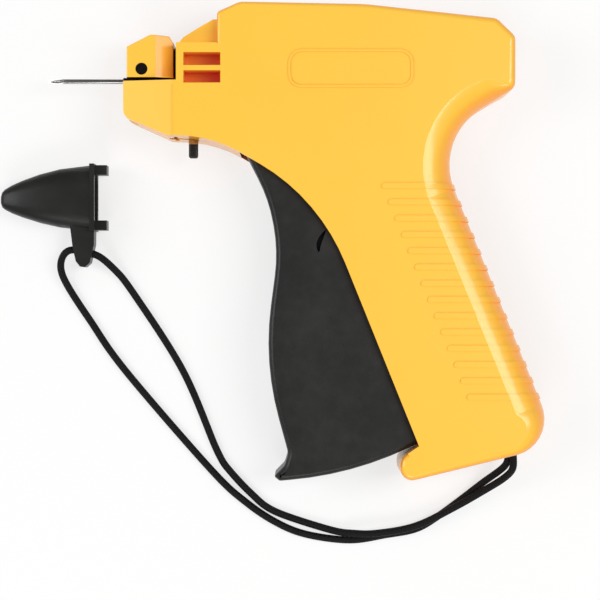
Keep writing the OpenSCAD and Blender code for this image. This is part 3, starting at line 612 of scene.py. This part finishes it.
ALONG_NEEDLE, ALONG_PIN = (0.06, 1, 1), (1, 1, 0.1)
needle_steel = metal_finish("ground_steel", (0.62, 0.61, 0.6), (0.4, 0.39, 0.38), 0.26,
                            stretch=ALONG_NEEDLE)
pin_steel = metal_finish("turned_steel", (0.6, 0.6, 0.62), (0.42, 0.42, 0.44), 0.3,
                         stretch=ALONG_PIN)
spring_steel = metal_finish("drawn_steel", (0.46, 0.46, 0.48), (0.3, 0.3, 0.32), 0.35)
black_steel = metal_finish("blackened_steel", (0.02, 0.018, 0.018), (0.006, 0.005, 0.005), 0.42)
print("finishes", *(made.name for made in (needle_steel, pin_steel, spring_steel, black_steel)))

# %% [markdown]
# ## Finishes for the solids that stay
# The mechanism inside is drawn in full and its shapes are right as they are. A piece made again
# here would gain nothing, so those solids stay and only their finish is changed.

# %% Solids that stay
STAY = {
    # the needle base gets the near-black painted-shade finish
    "needle_base": shadow_black, "trigger_pivot_pin": pin_steel, "drive_pin": pin_steel,
    "drive_lever": grey, "lever_pivot_pin": pin_steel, "slider": white, "slider_pin": pin_steel,
    "ejector_rod": pin_steel, "slider_bumper": rubber, "return_spring": spring_steel,
    "feed_wheel": white, "feed_wheel_shaft": pin_steel, "feed_pawl": white,
    "pawl_pin": pin_steel, "anti_reverse_spring": spring_steel, "cutter_blade": needle_steel,
    "clip_guide_spring": black_steel, "shell_screws": pin_steel}


def dress(name, finish):
    solid = nodes[name]
    if not solid.material_slots:
        solid.data.materials.append(finish)
    for slot in solid.material_slots:
        slot.material = finish


for name, finish in STAY.items():
    dress(name, finish)
print("solids with a new finish", len(STAY))

# %% [markdown]
# ## Working from a solid's own mesh
# A moulded part is the drawn solid with its edges rounded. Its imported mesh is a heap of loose
# triangles, so a copy is merged at its corners, and triangles that lie in one plane become one
# face again. Then the edges that a finger or the light meets are picked by where they lie, and
# bevelled. Faces that need another finish than the rest are picked in the same way.

# %% Copies and picked edges
def merged_copy(node):
    """A copy of a solid's mesh with its triangles joined into whole faces."""
    bm = bmesh.new()
    bm.from_mesh(nodes[node].data)
    bmesh.ops.remove_doubles(bm, verts=bm.verts, dist=0.004 * MM)
    bmesh.ops.dissolve_limit(bm, angle_limit=math.radians(0.4), verts=bm.verts, edges=bm.edges,
                             delimit=set())
    return bm


def sharp_edges(bm, test, least_angle=40.0, shortest=0.0):
    """Edges where two faces meet at a corner and whose middle passes the test."""
    picked = []
    for edge in bm.edges:
        if len(edge.link_faces) != 2 or edge.calc_length() < shortest:
            continue
        if edge.calc_face_angle(0.0) < math.radians(least_angle):
            continue
        middle = (edge.verts[0].co + edge.verts[1].co) / 2 / MM
        if test(middle, edge):
            picked.append(edge)
    return picked


def round_edges(bm, edges, radius, segments=3, clamp=True):
    bmesh.ops.bevel(bm, geom=edges, offset=radius * MM, offset_type="OFFSET", segments=segments,
                    profile=0.5, affect="EDGES", clamp_overlap=clamp, material=-1)
    print("  rounded", len(edges), "edges by", radius)


def use_second_finish(bm, test):
    """Give a piece's second finish to the faces whose middle, in millimetres, passes the test."""
    picked = [face for face in bm.faces if test(face.calc_center_median() / MM, face)]
    for face in picked:
        face.material_index = 1
    print("  second finish on", len(picked), "of", len(bm.faces), "faces")


print("solids that get a piece of their own", len(nodes) - len(STAY))

# %% [markdown]
# ## The two shells
# Each half of the body is one moulding. Its rolled edges, which get wider down the back of the
# grip, are already in the drawn solid, so they need smooth shading and no bevel. The rims of the
# two windows are drawn sharp, which a mould can't make, so they get a small radius. The facets of
# the big rolls meet at 18 degrees and are shaded smooth, while the crease of the nose bends by
# only 12 degrees and still has to show, so its edges are marked sharp by their place.

# %% Shells
RIM = 0.3


def level(edge, z, slack=0.02):
    """Whether an edge lies flat at a height in millimetres."""
    return all(abs(v.co.z / MM - z) < slack for v in edge.verts)


def rim_of_window(middle, edge):
    return level(edge, TOP_Z / MM) \
        and WINDOW_LOW[0] - RIM < middle.x < WINDOW_HIGH[0] + RIM \
        and WINDOW_LOW[1] - RIM < middle.y < WINDOW_HIGH[1] + RIM


def nose_crease(a, b):
    return abs(a.x - CREASE_X) < 0.05 and abs(b.x - CREASE_X) < 0.05


for half in ("upper", "lower"):
    shell = merged_copy(half + "_shell")
    if half == "upper":
        round_edges(shell, sharp_edges(shell, rim_of_window), 0.35, 2)
    make_piece(half + "_body", shell, [yellow],
               replaces=[half + "_shell"], sharp=24, crease=nose_crease)

# %% [markdown]
# ## The nose block
# A separate block above the needle's slot is screwed to the lower shell. Its edges are a little
# rounded. The face that the tag's thread slides along lies in deep shade in the slot, so it gets
# the dark finish as painted shade. The screw's head is rounded on its small edges alone.

# %% Nose block and screw
BLOCK_EDGES_Z, BLOCK_EDGES_Y, BLOCK_WALL_Z = 13.5, 54.5, 18.0
SHADED_FACE_Y = 53.9
SCREW_TOP_Z = 22.9


def block_rim(middle, edge):
    return middle.z > BLOCK_EDGES_Z and middle.y > BLOCK_EDGES_Y \
        and edge.verts[0].co.z > BLOCK_WALL_Z * MM


block = merged_copy("nose_block")
round_edges(block, sharp_edges(block, block_rim, shortest=1.5 * MM), 0.3, 2)
# painted shade: the block's face towards the needle's slot gets the near-black finish
use_second_finish(block, lambda middle, face: face.normal.y < -0.9 and middle.y < SHADED_FACE_Y)
make_piece("needle_block", block, [yellow, shadow_black],
           replaces=["nose_block"], sharp=15)
screw = merged_copy("nose_screw")
screw_edges = sharp_edges(
    screw, lambda middle, edge: middle.z > SCREW_TOP_Z and edge.calc_length() < 1 * MM)
round_edges(screw, screw_edges, 0.2, 2)
make_piece("needle_block_screw", screw, [black_steel],
           replaces=["nose_screw"])

# %% [markdown]
# ## The needle
# The needle's thicker shank comes a little out of the nose and is blackened, while the needle
# itself is ground bright. The solid has this whole shape already, so its faces only get one finish
# or the other, by where they lie along the needle.

# %% Needle
SHANK_END_X = -56.6

needle = merged_copy("needle")
use_second_finish(needle, lambda middle, face: middle.x > SHANK_END_X)
make_piece("hollow_needle", needle, [needle_steel, black_steel],
           replaces=["needle"])

# %% [markdown]
# ## The lock
# The lock's peg comes down out of a slot in the nose, where a finger pushes it, so its end is
# rounded. Its root gets a painted amber tone, for the light that the yellow walls beside it throw
# on it in the slot's shade.
# The solid's faces run past the place where the colour changes, so a plane cuts the mesh there
# first.

# %% Lock
PEG_END_Y, AMBER_LOW_Y, AMBER_HIGH_Y = 32.5, 32.6, 36.5

# painted light and shade: the root's amber stands for light thrown by the yellow walls in the
# slot's shade
amber = Finish("painted_amber_bounce", Roughness=0.35)
amber.set("Base Color", amber.mix(amber.noise(0.003), (0.3, 0.12, 0.012), (0.42, 0.2, 0.03)))
lock = merged_copy("needle_lock")
bmesh.ops.bisect_plane(lock, geom=lock.verts[:] + lock.edges[:] + lock.faces[:],
                       plane_co=mm(0, AMBER_LOW_Y), plane_no=(0, 1, 0))
round_edges(lock, sharp_edges(lock, lambda middle, edge: middle.y < PEG_END_Y), 0.7, 3)
use_second_finish(lock, lambda middle, face: AMBER_LOW_Y < middle.y < AMBER_HIGH_Y)
make_piece("lock_slide", lock, [black, amber.material], body="needle_lock",
           replaces=["needle_lock"])

# %% [markdown]
# ## Cutting one mesh out of another
# A recess that crosses a face without following its edges can't be made by moving the corners that
# are there. A cutter with the shape of the recess is taken away from the piece instead, with a
# Boolean modifier on an object that is deleted again once the result has been read.

# %% Cutting
def carved(bm, cutter):
    """The mesh with the cutter's shape cut out of it."""
    made = []
    for name, part in (("cut_from", bm), ("cutter", cutter)):
        mesh = bpy.data.meshes.new(name)
        part.to_mesh(mesh)
        part.free()
        made.append(bpy.data.objects.new(name, mesh))
        bpy.context.scene.collection.objects.link(made[-1])
    cut = made[0].modifiers.new("cut", "BOOLEAN")
    cut.operation, cut.object, cut.solver = "DIFFERENCE", made[1], "EXACT"
    finished = made[0].evaluated_get(bpy.context.evaluated_depsgraph_get())
    result = bmesh.new()
    result.from_mesh(finished.to_mesh())
    for each in made:
        data = each.data
        bpy.data.objects.remove(each)
        bpy.data.meshes.remove(data)
    print("  carved, faces", len(result.faces))
    return result


# %% [markdown]
# ## The trigger
# The trigger is a box-shaped moulding that is open at the back. The hand's fingers lie along its
# front, so the front edges are rolled by almost two millimetres and catch a soft line of light.
# The roll is wider than the shortest edges, so the bevel's own limit is off. Each side has a
# shallow crescent-shaped recess, cut with a flat outline that is extruded outwards from the
# recess's floor. The recess's faces get the near-black finish as painted shade.

# %% Trigger
TRIGGER_HALF_T = 10.0
FRONT_X, FOOT_Y, ROOT_Y = -1.0, -62.0, 27.0
CRESCENT = ((9.9, 4.5), (8.6, 3.5), (7.4, 1.9), (6.7, 0.2), (6.7, -1.3), (7.2, -2.7), (7.7, -2.6),
            (8.0, -1.0), (8.5, 0.6), (9.2, 2.4))
CRESCENT_LOW, CRESCENT_HIGH, CRESCENT_FLOOR = (6, -3.2), (10.5, 5), 9.0


def trigger_front(middle, edge):
    at_front = middle.x < FRONT_X or middle.y < FOOT_Y
    return at_front and middle.y < ROOT_Y and any(
        level(edge, MID_Z / MM + side * TRIGGER_HALF_T) for side in (-1, 1))


def crescent_cutter(side):
    """The crescent's outline at the floor of the recess, extruded out past the trigger's side."""
    cutter = bmesh.new()
    floor_z = MID_Z / MM + side * CRESCENT_FLOOR
    base = cutter.faces.new([cutter.verts.new(mm(x, y, floor_z)) for x, y in CRESCENT])
    grown = bmesh.ops.extrude_face_region(cutter, geom=[base])["geom"]
    outer = [made for made in grown if isinstance(made, bmesh.types.BMVert)]
    bmesh.ops.translate(cutter, vec=mm(0, 0, side * 2), verts=outer)
    bmesh.ops.recalc_face_normals(cutter, faces=cutter.faces)
    return cutter


def in_crescent(middle, face):
    depth = abs(middle.z - MID_Z / MM)
    return CRESCENT_LOW[0] < middle.x < CRESCENT_HIGH[0] \
        and CRESCENT_LOW[1] < middle.y < CRESCENT_HIGH[1] and abs(depth - CRESCENT_FLOOR) < 0.9


trigger = merged_copy("trigger")
round_edges(trigger, sharp_edges(trigger, trigger_front, least_angle=60), 1.9, 4, clamp=False)
for side in (-1, 1):
    trigger = carved(trigger, crescent_cutter(side))
# painted shade: the crescent recess gets the near-black finish
use_second_finish(trigger, in_crescent)
make_piece("squeeze_trigger", trigger, [trigger_black, shadow_black], body="trigger",
           replaces=["trigger"])

# %% [markdown]
# ## The needle cap
# The cap is a hollow moulding with a flange at its mouth, two prongs that snap into the nose and a
# lug with an eye for the cord. Its flanks have many small facets that smooth shading hides, so
# only the edges of the flange, the prongs and the lug are rounded.

# %% Cap
FLANGE_X, LUG_Y = -67.8, 4.0


def cap_edges(middle, edge):
    return middle.x > FLANGE_X or middle.y < LUG_Y


cover = merged_copy("needle_cap")
round_edges(cover, sharp_edges(cover, cap_edges, least_angle=50, shortest=0.8 * MM), 0.35, 2)
cap = make_piece("needle_cover", cover, [black],
                 replaces=["needle_cap"], sharp=40)
